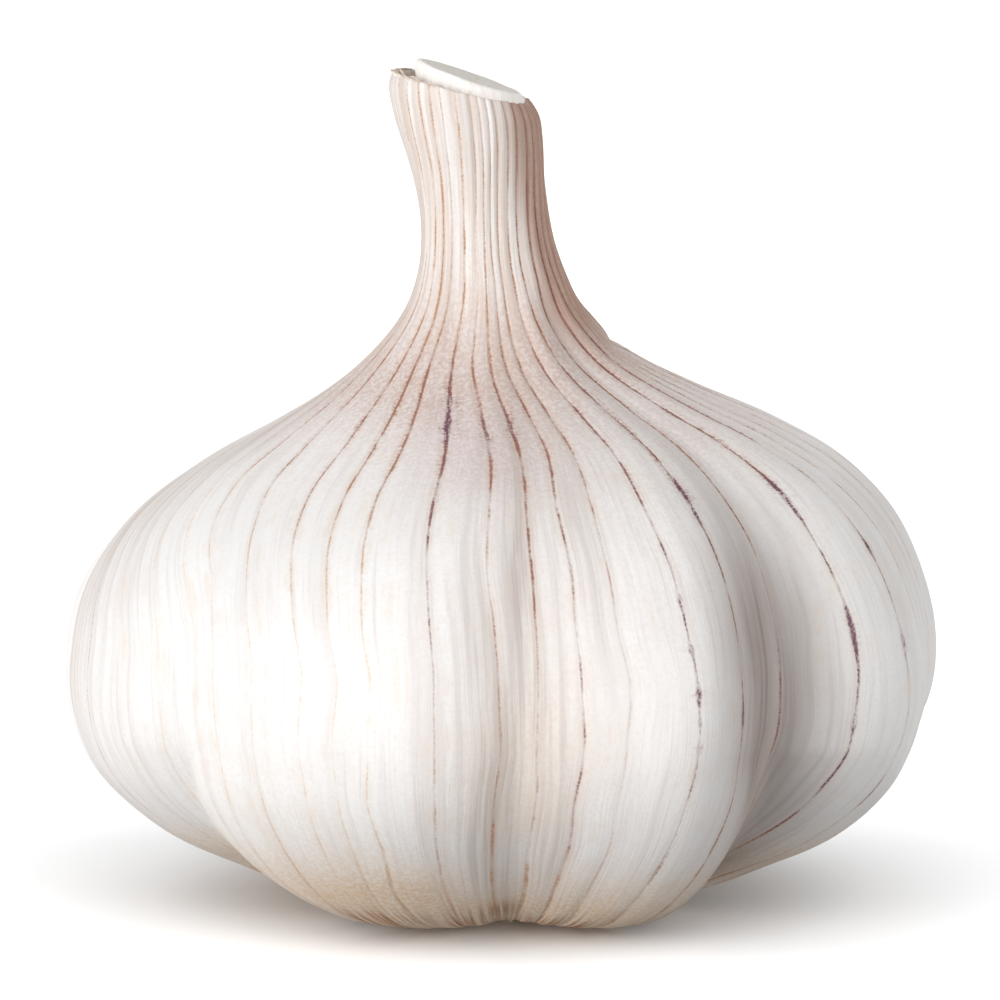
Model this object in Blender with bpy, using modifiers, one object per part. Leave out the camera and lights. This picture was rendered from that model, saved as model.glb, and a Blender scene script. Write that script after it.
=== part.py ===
"""A garlic bulb with a cut neck, standing upright on its root plate.

The bulb is lofted from lobed sections that follow one profile, from the hollow round the root
plate up to the slanted rim of the neck.  A dry leaf sheath and the cut flower stalk sit one inside
the other in the neck, and the root plate fills the hollow underneath.

Every size is in millimetres and is turned into metres where points are made.  +Z is up, -Y is the
front, and angles round the bulb start at the front and grow towards +X.
"""
from math import cos, pi, radians, sin, sqrt

import bmesh
import bpy
from mathutils import Vector

MM = 0.001
MERGE = 0.00001

# Loft resolution
COLUMNS = 60
ROWS_PER_SPAN = 2

# Outline of the bulb from the root hollow to the rim of the neck.  Each row holds the radius, the
# height, the sideways lean, the share of the valleys' depth that is felt there, and how far the
# underside rises there in a valley.
PROFILE = (
    (9.4, 2.4, 0.0, 0.15, 0.0),
    (10.6, 0.9, 0.0, 0.30, 0.3),
    (14.2, 0.3, 0.0, 0.50, 0.9),
    (19.2, 1.7, -0.1, 0.80, 1.3),
    (24.4, 5.2, -0.2, 1.00, 0.6),
    (28.8, 9.8, -0.1, 1.05, 0.1),
    (31.0, 14.2, 0.1, 1.00, 0.0),
    (31.45, 18.6, 0.2, 0.95, 0.0),
    (30.4, 23.2, 0.3, 0.80, 0.0),
    (27.5, 27.8, 1.0, 0.62, 0.0),
    (23.25, 31.4, 1.7, 0.45, 0.0),
    (18.3, 34.2, 1.9, 0.30, 0.0),
    (13.4, 36.7, 1.1, 0.18, 0.0),
    (9.3, 39.3, 0.1, 0.10, 0.0),
    (6.5, 42.2, -0.4, 0.05, 0.0),
    (5.15, 45.2, -0.65, 0.0, 0.0),
    (4.6, 48.5, -1.05, 0.0, 0.0),
    (4.7, 52.0, -1.65, 0.0, 0.0),
    (5.2, 55.4, -2.3, 0.0, 0.0),
    (5.4, 58.4, -2.75, 0.0, 0.0),
)

# Valleys between the cloves: angle in degrees, depth, and how soon the valley fades upwards.
VALLEYS = (
    (-95, 0.9, 1.5),
    (-48, 2.0, 2.2),
    (2, 1.5, 1.2),
    (43, 3.4, 0.7),
    (84, 1.2, 1.0),
    (128, 2.2, 1.0),
    (172, 1.8, 1.0),
    (217, 2.4, 0.9),
)
VALLEY_ROUNDING = 0.22
CLOVE_FULLNESS = 0.7
USUAL_DEPTH = 2.0

# The cloves at the sides stand a little higher than those at the front and back, and the valleys
# swing outwards low down.
SIDE_RISE = 2.4
SIDE_RISE_TO_RIGHT = 0.2
SPLAY = radians(17)
SPLAY_HEIGHT = 14.0

# Neck
TILT_START = 46.0
RIM_SLOPE = -0.236
NECK_WALL = 0.45
NECK_WAIST = 48.5
SOCKET_FLOOR = 40.0
SECTION_STEP = 2.6
FIT_GAP = 0.3

# Leaf sheath inside the neck
SHEATH_FOOT = 46.0
SHEATH_WALL = 0.35
SHEATH_RIM = 58.2

# Cut flower stalk
STALK_TOP = 59.0
STALK_SLOPE = -0.346

# Root plate
HOLLOW_RADIUS = 9.1
HOLLOW_CEILING = 2.8
PLATE_OUTLINE = ((0.0, 2.3), (5.2, 2.3), (7.4, 1.9), (8.3, 1.2), (8.3, 0.5), (7.9, 0.0), (0.0, 0.0))
PLATE_STEPS = 40


def clear_scene():
    for old in list(bpy.data.objects):
        bpy.data.objects.remove(old, do_unlink=True)


def new_collection(name):
    collection = bpy.data.collections.new(name)
    bpy.context.scene.collection.children.link(collection)
    return collection


def new_material(name, color, roughness):
    material = bpy.data.materials.new(name)
    material.use_nodes = True
    material.diffuse_color = (*color, 1.0)
    shader = material.node_tree.nodes["Principled BSDF"]
    shader.inputs["Base Color"].default_value = (*color, 1.0)
    shader.inputs["Roughness"].default_value = roughness
    shader.inputs["Metallic"].default_value = 0.0
    return material


def papery_skin():
    return new_material("papery_skin", (0.84, 0.81, 0.78), 0.55)


def dry_sheath():
    return new_material("dry_sheath", (0.74, 0.62, 0.50), 0.7)


def cut_stalk():
    return new_material("cut_stalk", (0.83, 0.82, 0.78), 0.6)


def corky_root():
    return new_material("corky_root", (0.50, 0.37, 0.25), 0.85)


def profile_at(t):
    """The five profile values at t, from 0 at the root hollow to 1 at the rim (Catmull-Rom)."""
    last = len(PROFILE) - 1
    place = min(max(t, 0.0), 1.0) * last
    k = min(int(place), last - 1)
    u = place - k
    rows = (PROFILE[max(k - 1, 0)], PROFILE[k], PROFILE[k + 1], PROFILE[min(k + 2, last)])
    values = []
    for a, b, c, d in zip(*rows):
        bend = (2 * a - 5 * b + 4 * c - d) * u ** 2 + (3 * b - a - 3 * c + d) * u ** 3
        values.append(0.5 * (2 * b + (c - a) * u + bend))
    return values


def clove_at(angle, height, share):
    """How much the section draws in at this angle, and how deep into a valley it is (0 to 1)."""
    low = min(max((SPLAY_HEIGHT - height) / SPLAY_HEIGHT, 0.0), 1.0)
    first = radians(VALLEYS[0][0])
    swung = (angle - SPLAY * low * sin(angle) - first) % (2 * pi) + first
    k = max(i for i, valley in enumerate(VALLEYS) if radians(valley[0]) <= swung)
    here = VALLEYS[k]
    after = VALLEYS[(k + 1) % len(VALLEYS)]
    start = radians(here[0])
    end = radians(after[0]) if k + 1 < len(VALLEYS) else first + 2 * pi
    across = (swung - start) / (end - start)
    arch = sin(pi * across) ** CLOVE_FULLNESS
    soft = sqrt(arch ** 2 + VALLEY_ROUNDING ** 2) - VALLEY_ROUNDING
    hollow = 1.0 - soft / (sqrt(1.0 + VALLEY_ROUNDING ** 2) - VALLEY_ROUNDING)
    mix = across * across * (3.0 - 2.0 * across)
    depth = (1.0 - mix) * here[1] * share ** here[2] + mix * after[1] * share ** after[2]
    full_depth = (1.0 - mix) * here[1] + mix * after[1]
    return depth * hollow, full_depth * hollow / USUAL_DEPTH, swung


def skin_point(t, angle):
    """A point on the outside of the bulb."""
    radius, height, lean, share, lift = profile_at(t)
    drawn_in, valley, swung = clove_at(angle, height, max(share, 0.0))
    radius -= drawn_in
    side = SIDE_RISE * sin(swung) ** 4 * (1.0 + SIDE_RISE_TO_RIGHT * sin(swung))
    height += lift * (valley + side)
    return ring_point(radius, height, lean, angle, neck_tilt(height))


def neck_tilt(height):
    """Slope of a section across the neck: level at its foot, slanted at the rim."""
    rim_height = PROFILE[-1][1]
    return RIM_SLOPE * min(max((height - TILT_START) / (rim_height - TILT_START), 0.0), 1.0)


def ring_point(radius, height, lean, angle, slope):
    aside = radius * sin(angle)
    return Vector((lean + aside, -radius * cos(angle), height + slope * aside)) * MM


def angles():
    return [2 * pi * k / COLUMNS for k in range(COLUMNS)]


def neck_section(height):
    """Outer radius and lean of the neck at a height, found on the profile between two steps."""
    steps = 400
    upper_part = [profile_at(0.6 + 0.4 * k / steps) for k in range(steps + 1)]
    for lower, upper in zip(upper_part, upper_part[1:]):
        if lower[1] <= height <= upper[1]:
            u = (height - lower[1]) / (upper[1] - lower[1])
            return [p + (q - p) * u for p, q in zip(lower, upper)][0:3:2]
    return upper_part[-1][0], upper_part[-1][2]


def neck_ring(height, inset, slope=None):
    """A section through the neck's bore, or through what fills it when inset is above zero."""
    radius = neck_section(max(height, NECK_WAIST))[0] - NECK_WALL - inset
    lean = neck_section(height)[1]
    tilt = neck_tilt(height) if slope is None else slope
    return [ring_point(radius, height, lean, angle, tilt) for angle in angles()]


def neck_heights(foot, top):
    count = round((top - foot) / SECTION_STEP)
    return [foot + (top - foot) * k / count for k in range(count + 1)]


def loft(name, rings, capped=True):
    """A skin through rings of equal length, with a flat cap at each end unless it stays open."""
    shape = bmesh.new()
    rows = [[shape.verts.new(point) for point in ring] for ring in rings]
    for row, following in zip(rows, rows[1:]):
        for k in range(len(row)):
            j = (k + 1) % len(row)
            shape.faces.new((row[k], row[j], following[j], following[k]))
    if capped:
        shape.faces.new(rows[0][::-1])
        shape.faces.new(rows[-1])
        bmesh.ops.recalc_face_normals(shape, faces=shape.faces)
    mesh = bpy.data.meshes.new(name)
    shape.to_mesh(mesh)
    shape.free()
    mesh.shade_smooth()
    return bpy.data.objects.new(name, mesh)


def make_bulb(parts, material):
    """Ceiling of the root hollow, the outside up to the rim, then down the bore to its floor."""
    rings = [[ring_point(HOLLOW_RADIUS, HOLLOW_CEILING, 0.0, a, 0.0) for a in angles()]]
    spans = (len(PROFILE) - 1) * ROWS_PER_SPAN
    for k in range(spans + 1):
        rings.append([skin_point(k / spans, a) for a in angles()])
    for height in reversed(neck_heights(SOCKET_FLOOR, PROFILE[-1][1])):
        rings.append(neck_ring(height, 0.0))
    bulb = loft("bulb", rings)
    bulb.data.materials.append(material)
    parts.objects.link(bulb)


def make_sheath(parts, material):
    """The inner leaf sheath: a thin tube in the bore, as tall as the slanted rim of the neck."""
    rings = [neck_ring(height, FIT_GAP) for height in neck_heights(SHEATH_FOOT, SHEATH_RIM)]
    sheath = loft("inner_sheath", rings, capped=False)
    wall = sheath.modifiers.new("wall", "SOLIDIFY")
    wall.thickness = SHEATH_WALL * MM
    wall.offset = -1.0
    sheath.data.materials.append(material)
    parts.objects.link(sheath)


def make_stalk(parts, material):
    """The flower stalk: it fills the sheath and stands a little proud of it, cut on a slant."""
    inset = 2 * FIT_GAP + SHEATH_WALL
    heights = neck_heights(SOCKET_FLOOR + FIT_GAP, PROFILE[-1][1])
    rings = [neck_ring(height, inset) for height in heights[:-1]]
    rings.append(neck_ring(STALK_TOP, inset, STALK_SLOPE))
    stalk = loft("stalk", rings)
    stalk.data.materials.append(material)
    parts.objects.link(stalk)


def make_root_plate(parts, material):
    """The corky plate under the bulb, turned from its outline, flat where it stands."""
    mesh = bpy.data.meshes.new("root_plate")
    points = [(radius * MM, 0.0, height * MM) for radius, height in PLATE_OUTLINE]
    edges = [(k, k + 1) for k in range(len(points) - 1)]
    mesh.from_pydata(points, edges, [])
    plate = bpy.data.objects.new("root_plate", mesh)
    parts.objects.link(plate)
    turn = plate.modifiers.new("turn", "SCREW")
    turn.axis = "Z"
    turn.steps = PLATE_STEPS
    turn.render_steps = PLATE_STEPS
    turn.use_merge_vertices = True
    turn.merge_threshold = MERGE
    turn.use_smooth_shade = False
    mesh.materials.append(material)


def build_garlic():
    clear_scene()
    parts = new_collection("garlic_bulb")
    make_bulb(parts, papery_skin())
    make_sheath(parts, dry_sheath())
    make_stalk(parts, cut_stalk())
    make_root_plate(parts, corky_root())


build_garlic()
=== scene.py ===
from math import cos, pi, radians, sin, tau

import bmesh
import bpy
import numpy as np
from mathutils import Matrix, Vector


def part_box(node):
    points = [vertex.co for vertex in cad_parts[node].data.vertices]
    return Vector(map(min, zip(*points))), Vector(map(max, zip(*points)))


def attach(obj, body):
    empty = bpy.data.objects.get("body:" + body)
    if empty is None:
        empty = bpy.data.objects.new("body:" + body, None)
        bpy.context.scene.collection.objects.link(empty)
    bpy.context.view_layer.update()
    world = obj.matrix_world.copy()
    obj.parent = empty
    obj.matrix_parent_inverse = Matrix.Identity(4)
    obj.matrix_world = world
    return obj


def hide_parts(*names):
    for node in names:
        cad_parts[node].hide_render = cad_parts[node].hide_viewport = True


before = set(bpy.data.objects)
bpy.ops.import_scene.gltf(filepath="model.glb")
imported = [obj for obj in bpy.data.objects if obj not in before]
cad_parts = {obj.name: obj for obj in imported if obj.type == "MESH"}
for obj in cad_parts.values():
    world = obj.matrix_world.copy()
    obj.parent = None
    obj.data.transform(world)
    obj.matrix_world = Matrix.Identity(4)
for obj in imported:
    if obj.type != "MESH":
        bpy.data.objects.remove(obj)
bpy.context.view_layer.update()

# ---------------------------------------------------------------------------------------------
# Sizes.  Lengths are in units of the bulb, which are millimetres at its real size: the bulb's own
# height in the frame sets the unit.  Angles round the bulb start at the front and grow towards +X.
BULB_LOW, BULB_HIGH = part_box("bulb")
BULB_HEIGHT = 59.4
UNIT = (BULB_HIGH.z - BULB_LOW.z) / BULB_HEIGHT

# Outline from the root hollow to the rim of the neck: radius, height, lean to the right, share of
# the valleys' depth felt there, rise of the underside there.
PROFILE = np.array((
    (9.4, 2.4, 0.0, 0.15, 0.0),
    (10.6, 0.9, 0.0, 0.30, 0.3),
    (14.2, 0.3, 0.0, 0.50, 0.9),
    (19.2, 1.7, -0.1, 0.80, 1.3),
    (24.4, 5.2, -0.2, 1.00, 0.6),
    (28.8, 9.8, -0.1, 1.05, 0.1),
    (31.0, 14.2, 0.1, 1.00, 0.0),
    (31.45, 18.6, 0.2, 0.95, 0.0),
    (30.4, 23.2, 0.3, 0.80, 0.0),
    (27.5, 27.8, 1.0, 0.62, 0.0),
    (23.25, 31.4, 1.7, 0.45, 0.0),
    (18.3, 34.2, 1.9, 0.30, 0.0),
    (13.4, 36.7, 1.1, 0.18, 0.0),
    (9.3, 39.3, 0.1, 0.10, 0.0),
    (6.5, 42.2, -0.4, 0.05, 0.0),
    (5.15, 45.2, -0.65, 0.0, 0.0),
    (4.6, 48.5, -1.05, 0.0, 0.0),
    (4.7, 52.0, -1.65, 0.0, 0.0),
    (5.2, 55.4, -2.3, 0.0, 0.0),
    (5.4, 58.4, -2.75, 0.0, 0.0),
))
RIM_HEIGHT = PROFILE[-1, 1]
BELLY_RADIUS = PROFILE[:, 0].max()

# Valleys between the cloves: angle in degrees, depth, and how soon the valley fades upwards.
VALLEYS = np.array((
    (-95, 0.9, 1.5),
    (-48, 2.0, 2.2),
    (2, 1.5, 1.2),
    (43, 1.15, 0.7),
    (84, 1.2, 1.0),
    (128, 2.2, 1.0),
    (172, 1.8, 1.0),
    (217, 2.4, 0.9),
))
VALLEY_ROUNDING = 0.22
CLOVE_FULLNESS = 0.7
USUAL_DEPTH = 2.0
SIDE_RISE = 2.4
SIDE_RISE_TO_RIGHT = 0.2
# Below this height the valleys are swung towards the front and the back, by up to this angle.
SPLAY = radians(17)
SPLAY_HEIGHT = 14.0
# Fuller and hollower places on the front: angle, width in degrees, how far out.
SWELLS = ((-49, 9.5, -0.25), (-13, 10.5, 0.45), (6.5, 7.8, -1.0), (25, 7, 1.1), (41.5, 7.4, -2.6),
          (59, 9.5, 1.0))
SWELL_FADE = 0.65
# The neck is cut on a slant, which its upper part takes on from here to the rim.
TILT_START = 46.0
RIM_SLOPE = -0.236
# The rim turns inwards over this last bit of height.
CURL_HEIGHT = 1.7

# The skin is gathered towards the left where it climbs into the neck: angle at the belly, and how
# much further round the same vein stands at the neck, in degrees.
GATHER = np.array((
    (-180, -8), (-120, -30), (-70, -42), (-34, -33), (-17, -16.5), (0, -9), (24, -6.5), (60, -1),
    (120, 0), (180, -8),
), float)
GATHER_FROM = 20.0
GATHER_TO = 41.0
GATHER_BLUR = 9
BACK_EASE = 0.4
# The neck turns back towards the right on its way up to the rim.
TWIST = radians(16)

# Veins at the front: angle at the belly in degrees, then how strong the vein is at the neck, on
# the shoulder, at the belly and at the foot, and its hue on the belly (0 ochre, 1 purple).
FRONT_VEINS = (
    (-76, 0.35, 0.35, 0.21, 0.25, 0.12),
    (-68, 0.45, 0.40, 0.35, 0.20, 0.9),
    (-60, 0.35, 0.30, 0.13, 0.20, 0.12),
    (-52.5, 0.45, 0.40, 0.19, 0.30, 0.12),
    (-46.5, 0.40, 0.35, 0.13, 0.30, 0.12),
    (-41, 0.50, 0.45, 0.26, 0.50, 0.12),
    (-33.7, 0.60, 0.60, 0.30, 0.50, 0.12),
    (-26.2, 0.75, 0.80, 0.32, 0.40, 0.12),
    (-21.3, 0.95, 0.85, 0.19, 0.30, 0.12),
    (-17, 0.50, 0.90, 0.27, 0.60, 0.12),
    (-8.6, 0.80, 1.00, 0.28, 0.45, 0.85),
    (-0.7, 0.40, 0.80, 0.60, 0.70, 0.5),
    (5, 0.60, 0.95, 0.60, 0.60, 0.6),
    (10.5, 0.45, 0.80, 0.75, 0.60, 0.7),
    (16, 0.55, 0.60, 0.22, 0.25, 0.5),
    (24.3, 0.60, 0.65, 0.75, 0.55, 1.0),
    (32.3, 0.85, 1.00, 0.90, 0.80, 0.85),
    (43, 0.85, 0.75, 0.75, 0.80, 0.8),
    (52, 0.95, 0.85, 1.00, 0.90, 1.0),
    (61, 0.90, 0.70, 0.90, 0.60, 1.0),
    (69, 0.75, 0.60, 0.50, 0.40, 0.8),
    (77, 0.70, 0.60, 0.40, 0.40, 0.7),
)
BACK_VEIN_STEP = 8.6
COLUMNS_PER_VEIN = 11

# Dark dashes where pigment has gathered on a front vein: its number, height, length, strength.
DASHES = (
    (10, 36.4, 2.4, 1.0), (11, 35.5, 2.8, 0.35), (12, 36.0, 2.5, 0.3),
    (15, 25.9, 0.9, 1.0), (15, 22.6, 0.9, 1.0), (15, 19.5, 1.1, 1.0), (15, 17.8, 0.5, 0.5),
    (15, 15.8, 0.9, 1.0),
    (16, 31.7, 2.6, 0.9), (16, 17.6, 1.8, 0.8),
    (18, 31.1, 2.2, 1.0), (18, 22.4, 3.2, 0.9), (18, 15.9, 0.9, 1.0),
    (19, 27.5, 1.2, 0.8), (19, 21.0, 2.2, 1.0),
)

# How strong each of a vein's four strengths is felt, and the vein's half width, at these heights.
VEIN_STAGES = (2, 6, 13, 22, 30, 35, 39, 44, 50, 58)
NECK_SHARE = (0, 0, 0, 0, 0, 0.1, 0.6, 1.1, 0.95, 1.0)
SHOULDER_SHARE = (0, 0, 0, 0.15, 0.8, 1.2, 0.95, 0.2, 0, 0)
BELLY_SHARE = (0, 0.15, 0.55, 0.6, 0.2, 0, 0, 0, 0, 0)
FOOT_SHARE = (1.15, 0.95, 0.3, 0, 0, 0, 0, 0, 0, 0)
VEIN_WIDTHS = (0.14, 0.12, 0.09, 0.075, 0.075, 0.075, 0.075, 0.07, 0.07, 0.07)
SHOULDER_HUE = 0.52
PURPLE_SHOULDER_HUE = 0.64
FOOT_HUE = 0.18
DASH_HUE = 0.95

# How far the ribs between the veins stand out at these heights.
RIB_STAGES = (0, 4, 14, 26, 33, 39, 45, 58)
RIB_RELIEF = (0.10, 0.07, 0.02, 0.04, 0.09, 0.12, 0.11, 0.09)

# Rows of the skin's outside, the neck's inside and the hollow over the root plate
OUTER_ROWS = 180
BORE_DEPTH = 8.0
NECK_WALL = 0.42
HOLLOW_RADIUS = 9.1
HOLLOW_CEILING = 2.8
LOWEST_SKIN = 0.15

# Stalk, leaves and root plate
STALK_RADIUS = 3.85
STALK_CENTRE = -2.15
STALK_TOP = 59.05
STALK_SLOPE = -0.346
STALK_FOOT = 48.0
STALK_COLUMNS = 176
# The rounded edge of the cut: how far in, how far up, and how much it belongs to the cut face.
STALK_EDGE = ((-0.06, -0.08, 0.2), (-0.17, 0.02, 0.4), (-0.34, 0.06, 0.7), (-0.6, 0.02, 1.0))
STALK_FACE_RADII = (2.8, 2.3, 1.8, 1.35, 0.95, 0.6, 0.3, 0.1)
LEAF_FOOT = 50.0
LEAF_THICKNESS = 0.08
# Radius and height down from the middle of the plate's top, round its edge, to its underside.
PLATE_OUTLINE = (
    (0.3, 2.3), (2.5, 2.3), (4.6, 2.28), (6.2, 2.15), (7.3, 1.9), (8.0, 1.55), (8.3, 1.1),
    (8.25, 0.7), (8.0, 0.45), (7.5, 0.32), (6.8, 0.30), (6.0, 0.34), (5.2, 0.30), (4.3, 0.36),
    (3.4, 0.32), (2.5, 0.38), (1.6, 0.42), (0.8, 0.5), (0.3, 0.55),
)
STUBS_UNDER = 150
STUBS_ROUND = 64
STUB_SIDES = 7
GOLDEN_ANGLE = 2.39996

# Studio
CAMERA_DISTANCE = 0.7
CAMERA_RISE = radians(8)
VIEW_WIDTH = 71.12
AIM_HEIGHT = 28.85
SENSOR = 36.0
# Lights on the bulb and on the floor: name, azimuth, rise, strength, spread in degrees.
BULB_LIGHTS = (
    ("key_light", -48, 12, 2.85, 40),
    ("right_fill", 54, 9, 2.5, 40),
    ("top_fill", -20, 75, 0.55, 60),
    ("back_fill", 190, 25, 1.3, 60),
)
REFLECTOR = ("reflector", -60, -25, 1.25, 60)
FLOOR_LIGHTS = (
    ("floor_light", -20, 70, 2.7, 140),
    ("floor_fill_left", -64, 24, 1.5, 80),
    ("floor_fill_right", 60, 28, 1.6, 80),
    ("floor_fill_front", 0, 15, 1.7, 80),
)


# ---------------------------------------------------------------------------------------------
# Numbers over a surface

def smooth(x, low, high):
    part = np.clip((x - low) / (high - low), 0.0, 1.0)
    return part * part * (3.0 - 2.0 * part)


def bell(x, middle, width):
    return np.exp(-((x - middle) / width) ** 2)


def waves(turns, along, across_cells, along_cells, seed):
    """Smooth random values from -1 to 1, periodic round the bulb."""
    table = np.random.default_rng(seed).uniform(-1, 1, (across_cells, along_cells + 2))
    x = (turns % 1.0) * across_cells
    y = np.clip(along, 0.0, 1.0) * along_cells
    i = np.floor(x).astype(int) % across_cells
    j = np.floor(y).astype(int)
    u = smooth(x - np.floor(x), 0.0, 1.0)
    v = smooth(y - np.floor(y), 0.0, 1.0)
    near = table[i, j] * (1 - v) + table[i, j + 1] * v
    i = (i + 1) % across_cells
    far = table[i, j] * (1 - v) + table[i, j + 1] * v
    return near * (1 - u) + far * u


def profile_at(t):
    """The profile's five values at each t, from 0 at the root hollow to 1 at the rim."""
    last = len(PROFILE) - 1
    place = np.clip(t, 0.0, 1.0) * last
    k = np.minimum(place.astype(int), last - 1)
    u = (place - k)[:, None]
    a, b = PROFILE[np.maximum(k - 1, 0)], PROFILE[k]
    c, d = PROFILE[k + 1], PROFILE[np.minimum(k + 2, last)]
    bend = (2 * a - 5 * b + 4 * c - d) * u ** 2 + (3 * b - a - 3 * c + d) * u ** 3
    return (0.5 * (2 * b + (c - a) * u + bend)).T


def neck_at(height):
    """Radius and lean of the neck at a height."""
    t = np.linspace(0.6, 1.0, 400)
    radius, heights, lean = profile_at(t)[:3]
    return np.interp(height, heights, radius), np.interp(height, heights, lean)


def neck_tilt(height):
    """Slope of the skin's rows to the right at a height: none below the neck, full at the rim."""
    return RIM_SLOPE * np.clip((height - TILT_START) / (RIM_HEIGHT - TILT_START), 0.0, 1.0)


def valley_at(angle, height, share):
    """How far the skin is drawn in, how deep into a valley it is, and the swung angle."""
    low = np.clip((SPLAY_HEIGHT - height) / SPLAY_HEIGHT, 0.0, 1.0)
    starts = np.radians(VALLEYS[:, 0])
    swung = (angle - SPLAY * low * np.sin(angle) - starts[0]) % tau + starts[0]
    here = np.searchsorted(starts, swung, side="right") - 1
    after = (here + 1) % len(starts)
    end = np.where(after == 0, starts[0] + tau, starts[after])
    across = (swung - starts[here]) / (end - starts[here])
    arch = np.sin(pi * across) ** CLOVE_FULLNESS
    soft = np.sqrt(arch ** 2 + VALLEY_ROUNDING ** 2) - VALLEY_ROUNDING
    hollow = 1.0 - soft / (np.sqrt(1.0 + VALLEY_ROUNDING ** 2) - VALLEY_ROUNDING)
    mix = across * across * (3.0 - 2.0 * across)
    depth, fade = VALLEYS[:, 1], VALLEYS[:, 2]
    drawn = (1 - mix) * depth[here] * share ** fade[here] + mix * depth[after] * share ** fade[after]
    full = (1 - mix) * depth[here] + mix * depth[after]
    return drawn * hollow, full * hollow / USUAL_DEPTH, swung


# ---------------------------------------------------------------------------------------------
# Meshes

def grid_mesh(name, points, caps=True):
    """A closed skin over rows of points that go round, with a flat face at each end."""
    rows, columns = points.shape[:2]
    index = np.arange(rows * columns).reshape(rows, columns)
    beside = np.roll(index, -1, axis=1)
    quads = np.stack((index[:-1], beside[:-1], beside[1:], index[1:]), -1).reshape(-1, 4).tolist()
    if caps:
        quads += [index[0][::-1].tolist(), index[-1].tolist()]
    mesh = bpy.data.meshes.new(name)
    mesh.from_pydata((points.reshape(-1, 3) * UNIT).tolist(), [], quads)
    mesh.update()
    mesh.shade_smooth()
    return mesh


def paint(mesh, name, values):
    """A named value on every point, for the material to read."""
    if values.ndim == 3:
        layer = mesh.attributes.new(name, "FLOAT_VECTOR", "POINT")
        layer.data.foreach_set("vector", values.astype(np.float32).ravel())
    else:
        layer = mesh.attributes.new(name, "FLOAT", "POINT")
        layer.data.foreach_set("value", values.astype(np.float32).ravel())


def unroll(mesh, rows, columns):
    """A map of the skin laid flat: once round is its width, foot to rim is its height."""
    layer = mesh.uv_layers.new(name="OFBake")
    corners = np.empty(len(mesh.loops), np.int32)
    mesh.loops.foreach_get("vertex_index", corners)
    row, column = corners // columns, (corners % columns).astype(float)
    quads = (rows - 1) * columns
    column[:quads * 4].reshape(quads, 4)[columns - 1::columns, 1:3] += columns
    flat = np.stack((column / columns, row / (rows - 1)), -1)
    layer.data.foreach_set("uv", (0.002 + 0.996 * flat).astype(np.float32).ravel())


def place(name, mesh, material, node, slot):
    piece = bpy.data.objects.new(name, mesh)
    bpy.context.scene.collection.objects.link(piece)
    mesh.materials.append(material)
    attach(piece, "root")
    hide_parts(node)
    return piece


def outward(points):
    """Unit normals of a grid of points that goes round."""
    along = np.gradient(points, axis=0)
    wrapped = np.concatenate((points[:, -1:], points, points[:, :1]), 1)
    across = wrapped[:, 2:] - wrapped[:, :-2]
    normal = np.cross(across, along)
    return normal / np.maximum(np.linalg.norm(normal, axis=2, keepdims=True), 1e-9)


# ---------------------------------------------------------------------------------------------
# Papery skin

def lay_veins():
    """Every vein round the bulb as rows of angle, strengths and hue: the front ones as listed."""
    chance = np.random.default_rng(11)
    veins = [list(vein) for vein in FRONT_VEINS]
    angle = veins[-1][0] + BACK_VEIN_STEP
    while angle < veins[0][0] + 360 - BACK_VEIN_STEP / 2:
        neck, shoulder, belly, foot = chance.uniform((0.5, 0.5, 0.2, 0.3), (0.9, 1.0, 0.8, 0.8))
        veins.append([angle, neck, shoulder, belly, foot, chance.uniform(0.2, 1.0)])
        angle += BACK_VEIN_STEP * chance.uniform(0.75, 1.2)
    return np.array(veins)


def spread_columns(veins):
    """For each column: its belly angle, its vein's number, and its place between two veins."""
    angles, numbers, parts = [], [], []
    following = np.append(veins[1:, 0], veins[0, 0] + 360)
    for number, (start, end) in enumerate(zip(veins[:, 0], following)):
        part = np.arange(COLUMNS_PER_VEIN) / COLUMNS_PER_VEIN
        angles.append(start + (end - start) * part)
        numbers.append(np.full(COLUMNS_PER_VEIN, number))
        parts.append(part)
    return np.radians(np.concatenate(angles)), np.concatenate(numbers), np.concatenate(parts)


def gathered(belly_angle, height):
    """The angle a column really stands at: it turns with the skin's gather up the neck."""
    degrees = (np.degrees(belly_angle) + 180) % 360 - 180
    turn = np.interp(degrees, GATHER[:, 0], GATHER[:, 1])
    padded = np.concatenate((turn[-GATHER_BLUR:], turn, turn[:GATHER_BLUR]))
    window = 2 * GATHER_BLUR + 1
    turn = np.convolve(padded, np.ones(window) / window, "valid")
    turn = turn * (1 - BACK_EASE * smooth(np.abs(degrees), 105, 165))
    turned = np.radians(turn)[None] * smooth(height, GATHER_FROM, GATHER_TO)
    turns = belly_angle[None] / tau + 0 * height
    wander = 0.5 * waves(turns, height / 60, 61, 15, 6)
    wander = wander + 1.6 * waves(turns, height / 60, 13, 9, 7) * bell(height, 40, 5)
    return belly_angle + turned + np.radians(wander) + TWIST * smooth(height, 45.5, 57)


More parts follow.
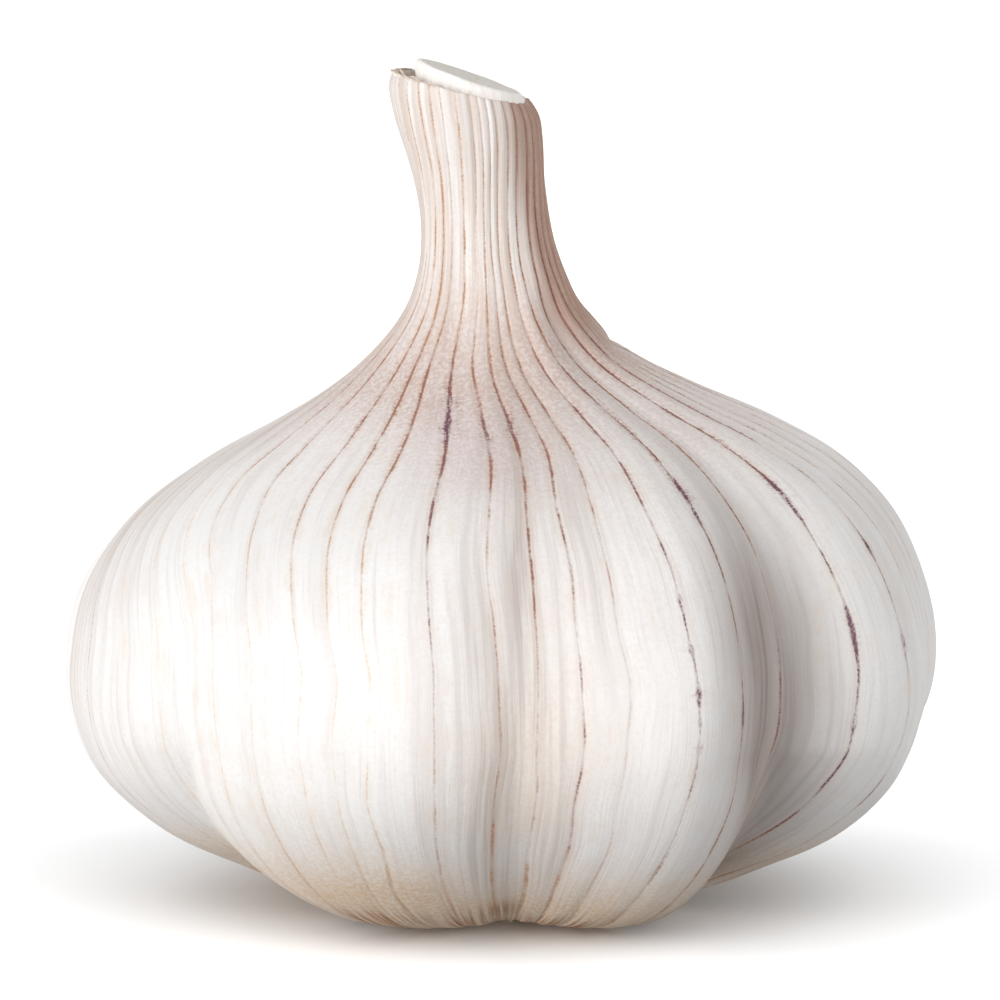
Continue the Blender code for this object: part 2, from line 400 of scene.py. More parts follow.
def bare_skin(t, belly_angle):
    """The smooth outside of the bulb: points, height, angle, and angle among the valleys."""
    radius, height, lean, share, lift = [value[:, None] for value in profile_at(t)]
    share = np.maximum(share, 0.0)
    angle = gathered(belly_angle, height)
    drawn, valley, swung = valley_at(angle, height, share)
    side = SIDE_RISE * np.sin(swung) ** 4 * (1 + SIDE_RISE_TO_RIGHT * np.sin(swung))
    radius = radius - drawn
    among = np.degrees(swung)
    felt = np.minimum(share, 1.0) ** SWELL_FADE
    for middle, wide, out in SWELLS:
        radius = radius + out * bell(among, middle, wide) * felt
    tall = height + lift * (valley + side)
    right = np.clip(np.sin(angle), 0, 1) ** 2
    left = np.clip(-np.sin(angle), 0, 1) ** 2
    curl = np.clip((height - RIM_HEIGHT + CURL_HEIGHT) / CURL_HEIGHT, 0, 1) ** 2.2
    radius = radius - curl * (0.14 + 0.42 * right + 0.45 * left)
    height = height - 0.2 * curl * right
    aside = radius * np.sin(angle)
    points = np.stack((lean + aside, -radius * np.cos(angle), tall + neck_tilt(tall) * aside), -1)
    return points, height, angle, among


def skin_relief(height, angle, part, number, turns, t):
    """How far the skin stands out: ribs between the veins, slow waves, pleats in the front valley."""
    degrees = np.degrees(angle)
    chance = np.random.default_rng(5).uniform(0.55, 1.35, number.max() + 1)
    ridge = np.sin(pi * part)[None] ** 0.7 - 0.6
    rib = np.interp(height, RIB_STAGES, RIB_RELIEF)
    folded = bell(degrees, 75, 38) * smooth(height, 39, 44)
    relief = rib * ridge * chance[number][None] * (1 + 1.3 * folded)
    relief = relief + 0.10 * waves(turns, t, 14, 9, 1) * smooth(height, 0, 8)
    relief = relief + 0.05 * waves(turns, t, 60, 7, 2)
    relief = relief + 0.022 * waves(turns, t, 150, 10, 3)
    valley = bell(degrees, 1.0, 11.0) * smooth(height, 3, 9) * (1 - smooth(height, 27, 33))
    relief = relief + 0.06 * valley * waves(turns, t, 130, 3, 4)
    # one fold lies across the skin where the neck meets the right shoulder
    fold = 0.12 * bell(height, 41.8, 1.0)
    fold = fold - 0.30 * bell(height, 40.1 + 0.012 * (degrees - 90), 0.42)
    return relief + fold * bell(degrees, 92, 26)


def vein_values(veins, number, part, height, points):
    """Distance to the nearest vein, its half width, strength, hue and dash, at every point."""
    following = (number + 1) % len(veins)
    nearer = np.where(part < 0.5, number, following)
    beside = np.linalg.norm(np.roll(points, -1, axis=1) - points, axis=2)
    steps = np.where(part < 0.5, part, 1 - part) * COLUMNS_PER_VEIN
    gap = steps[None] * beside
    angle, neck, shoulder, belly, foot, hue = veins[nearer].T
    ink = np.zeros_like(gap)
    for strength, share in ((neck, NECK_SHARE), (shoulder, SHOULDER_SHARE), (belly, BELLY_SHARE),
                            (foot, FOOT_SHARE)):
        ink = ink + np.interp(height, VEIN_STAGES, share) * strength
    dash = np.zeros_like(ink)
    for vein, middle, length, strength in DASHES:
        dash = np.maximum(dash, strength * bell(height, middle, length / 2) * (nearer == vein))
    width = np.interp(height, VEIN_STAGES, VEIN_WIDTHS)
    width = width * (0.65 + 0.5 * ink) + 0.12 * dash
    upper = smooth(height, 25, 35)
    neckward = smooth(height, 38, 43)
    lower = 1 - smooth(height, 3, 13)
    neck_hue = 0.36 + 0.32 * smooth(angle, 20, 55)
    shoulder_hue = np.where(hue > 0.8, PURPLE_SHOULDER_HUE, SHOULDER_HUE)
    tone = hue * (1 - upper) + shoulder_hue * upper
    tone = tone * (1 - neckward) + neck_hue * neckward
    tone = tone * (1 - 0.75 * lower) + FOOT_HUE * lower
    tone = tone + (DASH_HUE - tone) * smooth(dash, 0.1, 0.5)
    return gap, width, np.minimum(ink + 0.5 * dash, 1.3), tone, dash


def neck_lining(rim, angle):
    """Rows from the rim over the lip and down inside the neck."""
    rows = []
    centre = np.array((PROFILE[-1, 2], 0.0, rim[:, 2].mean()))
    for inset, drop in ((0.10, -0.04), (0.26, -0.02), (0.38, 0.06), (NECK_WALL, 0.3)):
        towards = (centre - rim) * (1, 1, 0)
        towards /= np.linalg.norm(towards, axis=1, keepdims=True)
        rows.append(rim + towards * inset - (0, 0, drop))
    for drop in np.linspace(1.0, BORE_DEPTH, 6):
        radius, lean = neck_at(RIM_HEIGHT - drop)
        radius = radius - NECK_WALL - 0.1
        aside = radius * np.sin(angle)
        tall = RIM_HEIGHT - drop + RIM_SLOPE * aside * (1 - drop / BORE_DEPTH)
        rows.append(np.stack((lean + aside, -radius * np.cos(angle), tall), -1))
    return np.array(rows)


def root_hollow(angle):
    """Rows of the hollow that the root plate sits in."""
    rows = ((HOLLOW_RADIUS - 0.3, HOLLOW_CEILING), (HOLLOW_RADIUS, HOLLOW_CEILING - 0.1))
    return np.array([np.stack((radius * np.sin(angle), -radius * np.cos(angle),
                               np.full_like(angle, height)), -1) for radius, height in rows])


def tints_and_painted_shade(height, angle, clove, turns, along, dash):
    """How strongly each tint of the skin and each painted shade shows, at every point."""
    degrees = np.degrees(angle)
    patch = waves(turns, along, 24, 14, 21)
    blush = bell(height, 39.4, 5.0) * (0.98 + 0.35 * patch) + 0.10 * smooth(height, 42, 50)
    blush = blush + 0.30 * bell(height, 30, 7) * bell(degrees, 8, 22) * (0.8 + 0.5 * patch)
    plum = bell(height, 34.5, 3.2) * bell(degrees, -8, 20) * (0.55 + 0.4 * patch)
    plum = plum + 0.5 * bell(height, 21, 4.5) * bell(degrees, -76, 9)
    # straw and scorch at the foot
    tan = (1 - smooth(height, 1.5, 9)) * (0.85 + 0.4 * patch)
    tan = tan + 0.35 * bell(height, 10, 6) * bell(degrees, -24, 26) * (0.6 + 0.6 * patch)
    tan = tan + 0.35 * bell(degrees, 4, 9) * bell(height, 13, 10) * (0.6 + 0.5 * patch)
    tan = tan + 0.7 * bell(degrees, -16, 15) * (1 - smooth(height, 1.5, 7)) * (0.6 + 0.6 * patch)
    burn = (1 - smooth(height, 0.8, 3.2)) * (0.5 + 0.75 * waves(turns, along, 40, 30, 22))
    burn = burn + bell(clove, -19, 4) * bell(height, 0.9, 1.5)
    burn = burn + bell(clove, 12, 5) * bell(height, 0.2, 0.9)
    # painted shade: darker skin in the front valleys, at the left edge and on the neck's right side
    dusk = bell(clove, 39, 10) * smooth(height, -4, 3) * (1 - smooth(height, 22, 37))
    # greyer pink streaks in the middle front valley, deepened into painted shade there and along the left
    # edge
    ash = bell(clove, 1.5, 10) * smooth(height, 0, 6) * (1 - 0.45 * smooth(height, 24, 38))
    ash = ash * (0.75 + 0.6 * waves(turns, along, 110, 4, 23)) + 0.9 * bell(degrees, -86, 15)
    # painted shade on the neck's right side, along with a browner tint of the skin there
    shady = smooth(degrees, 26, 52) * (1 - smooth(degrees, 140, 190)) * smooth(height, 38, 43.5)
    # where the veins fray, and where the neck begins, with tan lines up the neck that also stand for
    # painted shade
    fuzz = bell(height, 36.5, 4.2) + 0.25 * dash
    collar = smooth(height, 38.5, 45)
    return {"blush": blush, "plum": plum, "tan": tan, "burn": burn, "fuzz": fuzz, "shady": shady,
            "collar": collar, "dusk": dusk, "ash": ash}


# Values that are painted as they are; the others are held between 0 and 1.
MEASURED = ("vein_gap", "vein_width", "vein_ink", "grain")


def make_skin(material):
    """The whole papery skin, foot to rim, with everything its material reads."""
    veins = lay_veins()
    belly_angle, number, part = spread_columns(veins)
    t = np.linspace(0, 1, OUTER_ROWS)
    points, height, angle, clove = bare_skin(t, belly_angle)
    turns = np.broadcast_to(belly_angle[None] / tau, angle.shape)
    along = np.broadcast_to(t[:, None], angle.shape)
    relief = skin_relief(height, angle, part, number, turns, along)
    points = points + outward(points) * relief[..., None]
    ragged = bell(height, RIM_HEIGHT, 0.5) * waves(turns, along, 90, 1, 8) * 0.05
    points[..., 2] = np.maximum(points[..., 2] + ragged, LOWEST_SKIN)
    height = np.broadcast_to(height, angle.shape)

    hollow = root_hollow(angle[0])
    inside = neck_lining(points[-1], angle[-1])
    whole = np.concatenate((hollow, points, inside))
    mesh = grid_mesh("bulb_skin", whole)
    unroll(mesh, *whole.shape[:2])

    gap, width, ink, tone, dash = vein_values(veins, number, part, height, points)
    arc = np.cumsum(np.linalg.norm(np.diff(points, axis=0, prepend=points[:1]), axis=2), axis=0)
    arc = np.broadcast_to(arc.mean(1, keepdims=True), angle.shape)
    grain = np.stack((BELLY_RADIUS * np.sin(turns * tau), BELLY_RADIUS * np.cos(turns * tau), arc), -1)
    values = {"vein_gap": gap, "vein_width": width, "vein_ink": ink, "vein_tone": tone,
              **tints_and_painted_shade(height, angle, clove, turns, along, dash), "grain": grain}
    for name, value in values.items():
        value = np.clip(value, 0, 1) if name not in MEASURED else value
        foot = np.repeat(value[:1], len(hollow), axis=0)
        lip = np.repeat(value[-1:], len(inside), axis=0)
        if name == "tan":
            foot, lip = np.full_like(foot, 1.0), np.full_like(lip, 0.9)
        paint(mesh, name, np.concatenate((foot, value, lip)))
    return place("bulb_skin", mesh, material, "bulb", "papery_skin")


# ---------------------------------------------------------------------------------------------
# Stalk, sheath leaves and root plate

def make_stalk(material):
    """The cut flower stalk: fluted fibrous side, rounded edge, slightly sunken cut face."""
    turns = np.arange(STALK_COLUMNS) / STALK_COLUMNS
    angle = turns * tau
    rows = []
    flute = 0.035 * np.sin(angle * 34) + 0.05 * waves(turns, 0 * turns, 40, 1, 31)
    side_rows = 26
    for k in range(side_rows):
        part = k / (side_rows - 1)
        height = STALK_FOOT + (STALK_TOP - 0.2 - STALK_FOOT) * part
        lean = neck_at(height)[1] + (STALK_CENTRE - PROFILE[-1, 2]) * smooth(height, 50, 58)
        radius = STALK_RADIUS - 0.95 * (1 - smooth(height, 50, 56)) + flute
        radius = radius + 0.04 * waves(turns, part + 0 * turns, 18, 5, 32)
        slope = RIM_SLOPE + (STALK_SLOPE - RIM_SLOPE) * part
        rows.append((radius, lean, height, slope, 0.0))
    for inset, rise, flat in STALK_EDGE:
        rows.append((STALK_RADIUS + inset + flute * 0.5, lean, STALK_TOP + rise, STALK_SLOPE, flat))
    for radius in STALK_FACE_RADII:
        sunken = -0.05 - 0.13 * (1 - radius / 3.0)
        rows.append((radius + 0 * flute, lean, STALK_TOP + sunken, STALK_SLOPE, 1.0))
    points, face_part, along = [], [], []
    for radius, lean, height, slope, flat in rows:
        rough = 0.05 * flat * waves(turns, radius.mean() / 4 + 0 * turns, 16, 9, 33)
        aside = radius * np.sin(angle)
        points.append(np.stack((lean + aside, -radius * np.cos(angle), height + slope * aside + rough), -1))
        face_part.append(np.full(STALK_COLUMNS, flat))
        along.append(np.stack((4 * np.sin(angle), 4 * np.cos(angle), np.full_like(angle, height)), -1))
    mesh = grid_mesh("cut_stalk", np.array(points))
    paint(mesh, "cut_face", np.array(face_part))
    paint(mesh, "grain", np.array(along))
    return place("cut_stalk", mesh, material, "stalk", "cut_stalk")


def make_leaf(name, radius, centre, top, seed, material):
    """One thin dry leaf wrapped round the stalk, its upper edge torn and crumpled."""
    columns, rows = 220, 34
    turns = np.arange(columns) / columns
    angle = turns * tau
    loose = np.clip(-np.sin(angle), 0, 1)
    outer = []
    for k in range(rows):
        part = k / (rows - 1)
        edge = top + 0.09 * waves(turns, 0 * turns, 34, 1, seed) * (0.4 + loose)
        edge = edge + 0.1 * loose - 0.9 * np.clip(np.sin(angle), 0, 1)
        height = LEAF_FOOT + (edge - LEAF_FOOT) * part
        lean = neck_at(height)[1] + (centre - PROFILE[-1, 2]) * smooth(height, 50, 58)
        crumple = 0.07 * waves(turns, part + 0 * turns, 46, 8, seed + 1)
        crumple = crumple + 0.04 * waves(turns, part + 0 * turns, 90, 12, seed + 2)
        wide = radius - 0.9 * (1 - smooth(height, 50, 56.5)) + crumple * (0.25 + 0.75 * loose) * part
        aside = wide * np.sin(angle)
        outer.append(np.stack((lean + aside, -wide * np.cos(angle), height + RIM_SLOPE * aside), -1))
    mesh = grid_mesh(name, np.array(outer), caps=False)
    along = np.stack((np.tile(4 * np.sin(angle), (rows, 1)), np.tile(4 * np.cos(angle), (rows, 1)),
                      np.array(outer)[..., 2]), -1)
    paint(mesh, "grain", along)
    leaf = place(name, mesh, material, "inner_sheath", "dry_sheath")
    wall = leaf.modifiers.new("thickness", "SOLIDIFY")
    wall.thickness = LEAF_THICKNESS * UNIT
    wall.offset = 0.0
    return leaf


def make_root_plate(material):
    """The corky plate: a lumpy disc, with its underside just clear of the ground."""
    columns = 160
    turns = np.arange(columns) / columns
    angle = turns * tau
    points = []
    for k, (radius, height) in enumerate(PLATE_OUTLINE):
        part = k / (len(PLATE_OUTLINE) - 1) + 0 * turns
        wide = radius + 0.22 * waves(turns, part, 30, 8, 41) * smooth(radius, 2, 8)
        tall = height + 0.06 * waves(turns, part, 26, 12, 42)
        points.append(np.stack((wide * np.sin(angle), -wide * np.cos(angle), tall), -1))
    mesh = grid_mesh("root_cork", np.array(points)[::-1])
    return place("root_cork", mesh, material, "root_plate", "corky_root")


def make_root_stubs(material):
    """Trimmed root stubs: a brush under the plate and a fringe round its edge."""
    chance = np.random.default_rng(51)
    shape = bmesh.new()
    stubs = []
    for k in range(STUBS_UNDER):
        radius = 8.0 * np.sqrt((k + 0.5) / STUBS_UNDER)
        angle = k * GOLDEN_ANGLE + chance.uniform(-0.1, 0.1)
        start = Vector((radius * sin(angle), -radius * cos(angle), 0.6))
        lean = Vector((sin(angle), -cos(angle), 0)) * 0.25 * radius / 8
        stubs.append((start, start + lean + Vector((0, 0, -0.6 + chance.uniform(0.02, 0.2))), 0.26))
    for k in range(STUBS_ROUND):
        angle = (k + chance.uniform(-0.35, 0.35)) * tau / STUBS_ROUND
        out = Vector((sin(angle), -cos(angle), 0))
        height = chance.uniform(0.6, 1.5)
        start = out * 7.9 + Vector((0, 0, height))
        reach = chance.uniform(1.0, 1.9)
        stubs.append((start, start + out * reach + Vector((0, 0, -height * 0.6)), 0.23))
    for start, end, thick in stubs:
        thick *= chance.uniform(0.75, 1.25)
        axis = (end - start).normalized()
        side = axis.orthogonal().normalized()
        other = axis.cross(side)
        around = np.arange(STUB_SIDES) * tau / STUB_SIDES
        rings = []
        for part in (0.0, 0.35, 0.7, 0.93, 1.0):
            middle = start.lerp(end, part) + side * 0.06 * sin(part * 5 + thick * 40)
            wide = thick * (1.05 - 0.2 * part) * (0.8 if part == 1.0 else 1.0)
            ring = [middle + (side * cos(a) + other * sin(a)) * wide for a in around]
            rings.append([shape.verts.new(Vector((p.x, p.y, max(p.z, 0.01))) * UNIT) for p in ring])
        for low, high in zip(rings, rings[1:]):
            for j in range(STUB_SIDES):
                k = (j + 1) % STUB_SIDES
                shape.faces.new((low[j], low[k], high[k], high[j]))
        shape.faces.new(rings[0][::-1])
        shape.faces.new(rings[-1])
    bmesh.ops.recalc_face_normals(shape, faces=shape.faces)
    mesh = bpy.data.meshes.new("root_stubs")
    shape.to_mesh(mesh)
    shape.free()
    mesh.shade_smooth()
    return place("root_stubs", mesh, material, "root_plate", "corky_root")


# ---------------------------------------------------------------------------------------------
# Finishes

class Value:
    """A socket of a material.  Arithmetic on it adds Math nodes."""

    def __init__(self, finish, socket):
        self.finish = finish
        self.socket = socket

    def maths(self, operation, *values):
        return self.finish.node("ShaderNodeMath", {"operation": operation}, *values)

    def __add__(self, other):
        return self.maths("ADD", self, other)

    def __sub__(self, other):
        return self.maths("SUBTRACT", self, other)

    def __rsub__(self, other):
        return self.maths("SUBTRACT", other, self)

    def __mul__(self, other):
        return self.maths("MULTIPLY", self, other)

    def __truediv__(self, other):
        return self.maths("DIVIDE", self, other)

    __radd__ = __add__
    __rmul__ = __mul__

    def held(self):
        """The value kept between 0 and 1."""
        return self.finish.node("ShaderNodeClamp", {}, self)


class Finish:
    """A material under construction."""

    def __init__(self, name, roughness, **constants):
        self.material = bpy.data.materials.new(name)
        self.material.use_nodes = True
        self.tree = self.material.node_tree
        self.shader = self.tree.nodes["Principled BSDF"]
        self.shader.inputs["Roughness"].default_value = roughness
        for socket, value in constants.items():
            self.shader.inputs[socket.replace("_", " ")].default_value = value

    def node(self, kind, settings, *values, out=0, **named):
        """Any node: its settings first, then its sockets in order or by name."""
        made = self.tree.nodes.new(kind)
        for setting, value in settings.items():
            if setting == "stops":
                self.set_stops(made.color_ramp, value)
            else:
                setattr(made, setting, value)
        pairs = list(enumerate(values)) + [(key.replace("_", " "), value) for key, value in named.items()]
        for key, value in pairs:
            if isinstance(value, Value):
                self.tree.links.new(value.socket, made.inputs[key])
            elif value is not None:
                made.inputs[key].default_value = value
        return Value(self, made.outputs[out])

    @staticmethod
    def set_stops(ramp, stops):
        while len(ramp.elements) < len(stops):
            ramp.elements.new(0.5)
        for element, (position, color) in zip(ramp.elements, stops):
            element.position = position
            element.color = (*color, 1.0)

    def read(self, name, vector=False):
        return self.node("ShaderNodeAttribute", {"attribute_name": name}, out=1 if vector else 2)

    def stretched(self, vector, scale):
        return self.node("ShaderNodeVectorMath", {"operation": "MULTIPLY"}, vector, scale)

    def noise(self, vector, scale, detail=2.0, roughness=0.5):
        return self.node("ShaderNodeTexNoise", {}, Vector=vector, Scale=scale, Detail=detail,
                         Roughness=roughness)

    def step(self, value, low, high):
        """0 at low and 1 at high, smooth between and level beyond; low may be the larger."""
        return self.node("ShaderNodeMapRange", {"interpolation_type": "SMOOTHSTEP"}, value, low, high,
                         0.0, 1.0)

    def mix(self, first, second, share):
        made = self.tree.nodes.new("ShaderNodeMix")
        made.data_type = "RGBA"
        for socket, value in ((0, share), (6, first), (7, second)):
            if isinstance(value, Value):
                self.tree.links.new(value.socket, made.inputs[socket])
            elif socket:
                made.inputs[socket].default_value = (*value, 1.0)
            else:
                made.inputs[socket].default_value = value
        return Value(self, made.outputs[2])

    def ramp(self, value, stops):
        return self.node("ShaderNodeValToRGB", {"stops": stops}, value)

    def place_on_piece(self):
        """Position on the piece in units of the bulb."""
        return self.stretched(self.node("ShaderNodeTexCoord", {}, out=3), (1 / UNIT,) * 3)

    def bump(self, height, distance, strength=1.0):
        return self.node("ShaderNodeBump", {}, Strength=strength, Distance=distance * UNIT, Height=height)

    def connect(self, **sockets):
        for socket, value in sockets.items():
            self.tree.links.new(value.socket, self.shader.inputs[socket.replace("_", " ")])
        return self.material


# Colours of the skin, of the shade painted on it, and of the veins from hue 0 to hue 1
WHITE_SKIN = (0.86, 0.848, 0.838)
PEARL_SHADE = (0.66, 0.605, 0.585)
BLUSH_PINK = (0.52, 0.365, 0.315)
PLUM_HAZE = (0.58, 0.43, 0.45)
STRAW_TAN = (0.70, 0.49, 0.30)
VEIN_GLOW = (0.70, 0.54, 0.42)
# painted shade for the neck's right side, with the skin's browner tint there
NECK_SHADE_BROWN = (0.38, 0.225, 0.17)
# greyer pink for streaks, and for painted shade in the middle front valley and at the left edge
STREAK_AND_SHADE_PINK = (0.52, 0.45, 0.41)
# painted shade for the right front valley
VALLEY_SHADE_GREY = (0.27, 0.215, 0.19)
# tan for lines up the neck, also painted shade darkening it
NECK_LINE_AND_SHADE_TAN = (0.56, 0.45, 0.38)
FOOT_BROWN = (0.30, 0.13, 0.05)
VEIN_STOPS = ((0.0, (0.66, 0.48, 0.27)), (0.25, (0.56, 0.35, 0.21)), (0.45, (0.40, 0.19, 0.12)),
              (0.65, (0.26, 0.11, 0.10)), (1.0, (0.15, 0.06, 0.10)))


def papery_skin():
    """Near-white skin, tinted and streaked along its grain, with painted shade in its valleys and on its
    neck, and the veins inked on it.
    """
    finish = Finish("papery_skin", 0.5, Subsurface_Weight=0.12, Subsurface_Scale=0.6 * UNIT,
                    Subsurface_Radius=(1.0, 0.8, 0.65), Specular_IOR_Level=0.3)
    grain = finish.read("grain", vector=True)
    spot = finish.place_on_piece()
    broad = finish.noise(finish.stretched(grain, (0.45, 0.45, 0.03)), 1.0, 3.0, 0.6)
    streak = finish.noise(finish.stretched(grain, (1.9, 1.9, 0.06)), 1.0, 3.0, 0.6)
    fibre = finish.noise(finish.stretched(grain, (6.5, 6.5, 0.25)), 1.0, 2.0, 0.6)
    fleck = finish.noise(spot, 3.2, 3.0, 0.65)
    cloud = finish.noise(spot, 0.35, 3.0, 0.6)

    color = finish.mix(WHITE_SKIN, PEARL_SHADE, finish.step(broad, 0.42, 0.78) * 0.45)
    color = finish.mix(color, PEARL_SHADE, finish.step(streak, 0.5, 0.75) * 0.5)
    pale_straw = finish.step(streak, 0.58, 0.36) * finish.step(cloud, 0.4, 0.7)
    color = finish.mix(color, STRAW_TAN, pale_straw * 0.22)
    mottled = 0.65 + 0.7 * finish.step(fleck, 0.35, 0.65)
    lined = finish.noise(finish.stretched(grain, (0.36, 0.36, 0.03)), 1.0, 4.0, 0.7)
    # tan lines up the neck, which also darken it as painted shade
    collar = finish.read("collar")
    color = finish.mix(color, NECK_LINE_AND_SHADE_TAN, (finish.step(lined, 0.42, 0.64) * collar * 0.62).held())
    color = finish.mix(color, BLUSH_PINK, (finish.read("blush") * mottled * 0.62).held())
    color = finish.mix(color, PLUM_HAZE, (finish.read("plum") * mottled * 0.32).held())
    color = finish.mix(color, STRAW_TAN, (finish.read("tan") * mottled * 0.74).held())
    color = finish.mix(color, PEARL_SHADE, finish.step(fleck, 0.45, 0.8) * 0.25)

    streaked = 0.5 + 0.9 * finish.step(streak, 0.38, 0.62)
    # greyer pink streaks, with painted shade in the middle front valley and at the left edge
    color = finish.mix(color, STREAK_AND_SHADE_PINK, (finish.read("ash") * (0.15 + 0.85 * streaked) * 0.78).held())
    # painted shade: the right front valley darkened in the colour
    color = finish.mix(color, VALLEY_SHADE_GREY, (finish.read("dusk") * (0.8 + 0.2 * streaked) * 0.88).held())
    gap = finish.read("vein_gap")
    # painted shade on the neck's right side, with a browner tint of the skin, a little stronger at the
    # veins
    shaded = finish.read("shady") * (1.25 - 0.40 * finish.step(gap, 0.05, 0.3))
    color = finish.mix(color, NECK_SHADE_BROWN, shaded.held())
    width = finish.read("vein_width")
    ink = finish.read("vein_ink")
    tone = finish.read("vein_tone")
    fuzz = finish.read("fuzz")
    ragged = finish.noise(finish.stretched(grain, (2.4, 2.4, 3.4)), 1.0, 3.0, 0.7)
    stroke = finish.noise(finish.stretched(grain, (1.3, 1.3, 5.5)), 1.0, 3.0, 0.65)
    broken = finish.noise(finish.stretched(grain, (0.9, 0.9, 0.36)), 1.0, 3.0, 0.6)
    reach = (gap + (ragged - 0.5) * (0.06 + 0.14 * fuzz)) / width
    core = 1 - finish.step(reach, 0.1, 1.9)
    haze = (1 - finish.step(reach, 0.6, 7.0)) * finish.step(stroke, 0.44, 0.66) * fuzz
    glow = 1 - finish.step(gap, 0.05, 0.8)
    grainy = 0.5 + 0.85 * finish.step(finish.noise(spot, 5.5, 2.0, 0.6), 0.36, 0.62)
    inked = ink * (0.2 + 1.2 * finish.step(broken, 0.36, 0.66)) * grainy
    color = finish.mix(color, VEIN_GLOW, (glow * inked * 0.30).held())
    mark = ((core + haze * 0.6) * inked).held()
    color = finish.mix(color, finish.ramp(tone, VEIN_STOPS), mark)
    scorched = finish.read("burn") * finish.step(streak, 0.4, 0.62) * 1.1
    color = finish.mix(color, FOOT_BROWN, scorched.held())

    relief = fibre * 0.55 + streak * 0.8 + fleck * 0.35 - core * ink * 0.6
    gloss = 0.42 + 0.22 * fleck
    return finish.connect(Base_Color=color, Roughness=gloss, Normal=finish.bump(relief, 0.06, 0.8))


def leaf_paper():
    finish = Finish("leaf_paper", 0.75, Specular_IOR_Level=0.25, Subsurface_Weight=0.1,
                    Subsurface_Scale=0.4 * UNIT)
    grain = finish.read("grain", vector=True)
    spot = finish.place_on_piece()
    fibre = finish.noise(finish.stretched(grain, (9.0, 9.0, 0.5)), 1.0, 3.0, 0.6)
    patch = finish.noise(spot, 1.4, 3.0, 0.6)
    color = finish.mix((0.95, 0.86, 0.78), (0.84, 0.68, 0.54), finish.step(fibre, 0.4, 0.7) * 0.7)
    color = finish.mix(color, (0.46, 0.27, 0.16), finish.step(patch, 0.5, 0.75) * 0.5)
    return finish.connect(Base_Color=color, Normal=finish.bump(fibre + patch, 0.08, 0.8))


def stalk_pith():
    finish = Finish("stalk_pith", 0.6, Specular_IOR_Level=0.3, Subsurface_Weight=0.15,
                    Subsurface_Scale=0.5 * UNIT)
    grain = finish.read("grain", vector=True)
    face = finish.read("cut_face")
    spot = finish.place_on_piece()
    fibre = finish.noise(finish.stretched(grain, (5.5, 5.5, 0.35)), 1.0, 3.0, 0.6)
    pores = finish.noise(finish.stretched(spot, (2.2, 5.0, 5.0)), 1.0, 4.0, 0.7)
    fleck = finish.noise(spot, 5.0, 2.0, 0.6)
    side = finish.mix((0.95, 0.925, 0.90), (0.80, 0.70, 0.60), finish.step(fibre, 0.5, 0.72) * 0.5)
    face_color = finish.mix((0.76, 0.71, 0.65), (0.48, 0.42, 0.36), finish.step(pores, 0.52, 0.74) * 0.8)
    face_color = finish.mix(face_color, (0.84, 0.82, 0.78), finish.step(fleck, 0.55, 0.75) * 0.5)
    color = finish.mix(side, face_color, finish.step(face, 0.55, 0.98))
    relief = fibre * (1 - face) + (pores + fleck) * face
    return finish.connect(Base_Color=color, Normal=finish.bump(relief, 0.10, 0.8))


def corky_root(name, pale, dark):
    finish = Finish(name, 0.9, Specular_IOR_Level=0.2)
    spot = finish.place_on_piece()
    cork = finish.noise(spot, 1.3, 4.0, 0.7)
    grit = finish.noise(spot, 6.0, 3.0, 0.6)
    color = finish.mix(pale, dark, finish.step(cork, 0.38, 0.68))
    color = finish.mix(color, (0.22, 0.14, 0.08), finish.step(grit, 0.58, 0.75) * 0.6)
    return finish.connect(Base_Color=color, Normal=finish.bump(cork + grit * 0.5, 0.25, 0.9))


def pale_floor():
    finish = Finish("pale_floor", 0.9, Specular_IOR_Level=0.0)
    finish.shader.inputs["Base Color"].default_value = (0.9, 0.9, 0.9, 1.0)
    return finish.material


# ---------------------------------------------------------------------------------------------
# Studio

def make_floor():
    bpy.ops.mesh.primitive_plane_add(size=8.0)
    floor = bpy.context.object
    floor.name = "floor"
    floor.data.materials.append(pale_floor())
    return floor


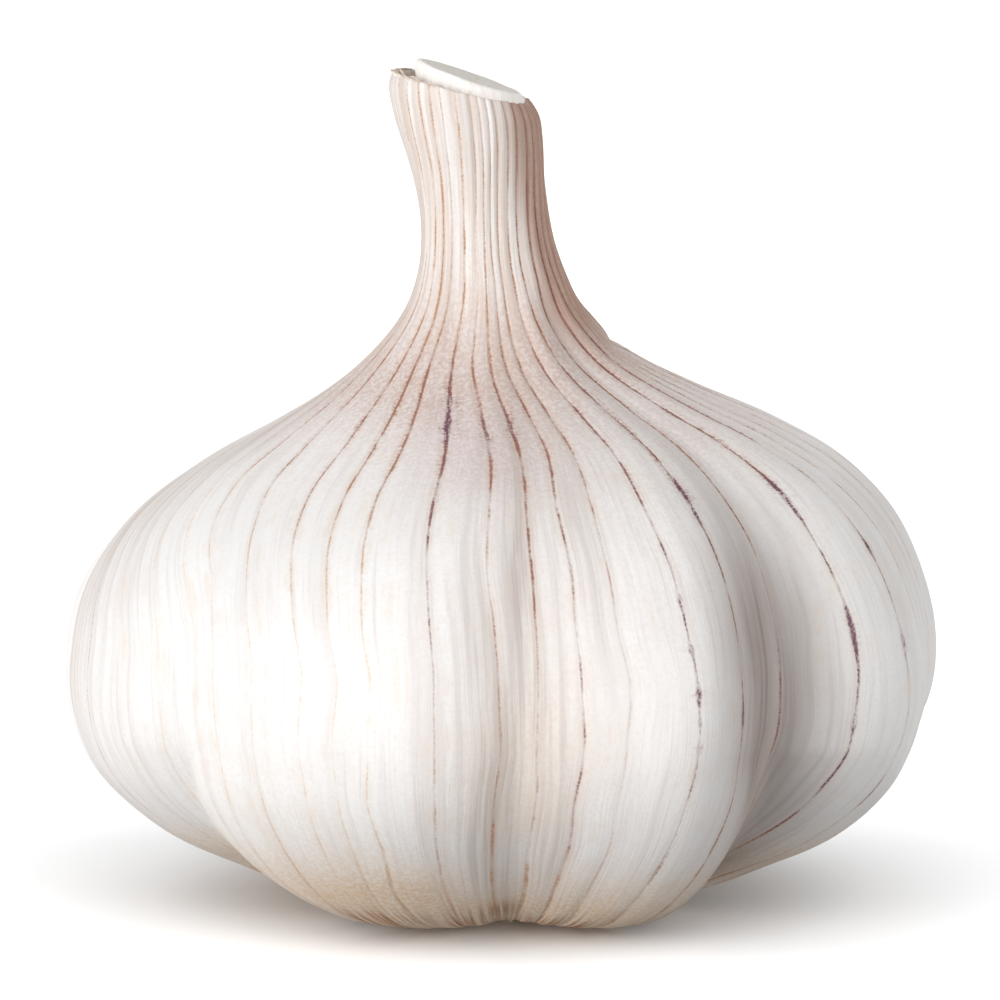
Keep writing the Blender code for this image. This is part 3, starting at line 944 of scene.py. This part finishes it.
def soft_light(name, azimuth, rise, strength, spread, receivers):
    """A far, broad, soft light that only the given objects receive."""
    lamp = bpy.data.lights.new(name, "SUN")
    lamp.energy = strength
    lamp.angle = radians(spread)
    azimuth, rise = radians(azimuth), radians(rise)
    out = Vector((sin(azimuth) * cos(rise), -cos(azimuth) * cos(rise), sin(rise)))
    light = bpy.data.objects.new(name, lamp)
    light.rotation_euler = out.to_track_quat("Z", "Y").to_euler()
    bpy.context.scene.collection.objects.link(light)
    light.light_linking.receiver_collection = receivers
    return light


def make_studio(pieces):
    floor = make_floor()
    on_floor = bpy.data.collections.new("lit_floor")
    on_floor.objects.link(floor)
    on_bulb = bpy.data.collections.new("lit_bulb")
    for piece in pieces:
        on_bulb.objects.link(piece)
    for settings in BULB_LIGHTS:
        soft_light(*settings, on_bulb)
    reflector = soft_light(*REFLECTOR, on_bulb)
    reflector.light_linking.blocker_collection = on_bulb
    for settings in FLOOR_LIGHTS:
        soft_light(*settings, on_floor)
    floor.visible_diffuse = False
    world = bpy.data.worlds.new("pale_room")
    world.use_nodes = True
    background = world.node_tree.nodes["Background"]
    background.inputs["Color"].default_value = (1.0, 1.0, 1.0, 1.0)
    background.inputs["Strength"].default_value = 0.08
    bpy.context.scene.world = world
    bpy.context.scene.view_settings.view_transform = "Standard"


def make_camera():
    lens = bpy.data.cameras.new("camera")
    lens.sensor_width = SENSOR
    lens.lens = SENSOR * CAMERA_DISTANCE / (VIEW_WIDTH * UNIT)
    lens.clip_start = 0.01
    camera = bpy.data.objects.new("camera", lens)
    back = Vector((0, -cos(CAMERA_RISE), sin(CAMERA_RISE)))
    camera.location = Vector((0, 0, AIM_HEIGHT * UNIT)) + back * CAMERA_DISTANCE
    camera.rotation_euler = back.to_track_quat("Z", "Y").to_euler()
    bpy.context.scene.collection.objects.link(camera)
    bpy.context.scene.camera = camera


make_camera()
pieces = [
    make_skin(papery_skin()),
    make_leaf("outer_leaf", 5.0, -2.7, 58.2, 61, leaf_paper()),
    make_leaf("inner_leaf", 4.55, -2.5, 58.35, 71, leaf_paper()),
    make_stalk(stalk_pith()),
    make_root_plate(corky_root("root_cork", (0.50, 0.37, 0.24), (0.30, 0.20, 0.12))),
    make_root_stubs(corky_root("root_stubs", (0.60, 0.48, 0.33), (0.40, 0.28, 0.17))),
]
make_studio(pieces)
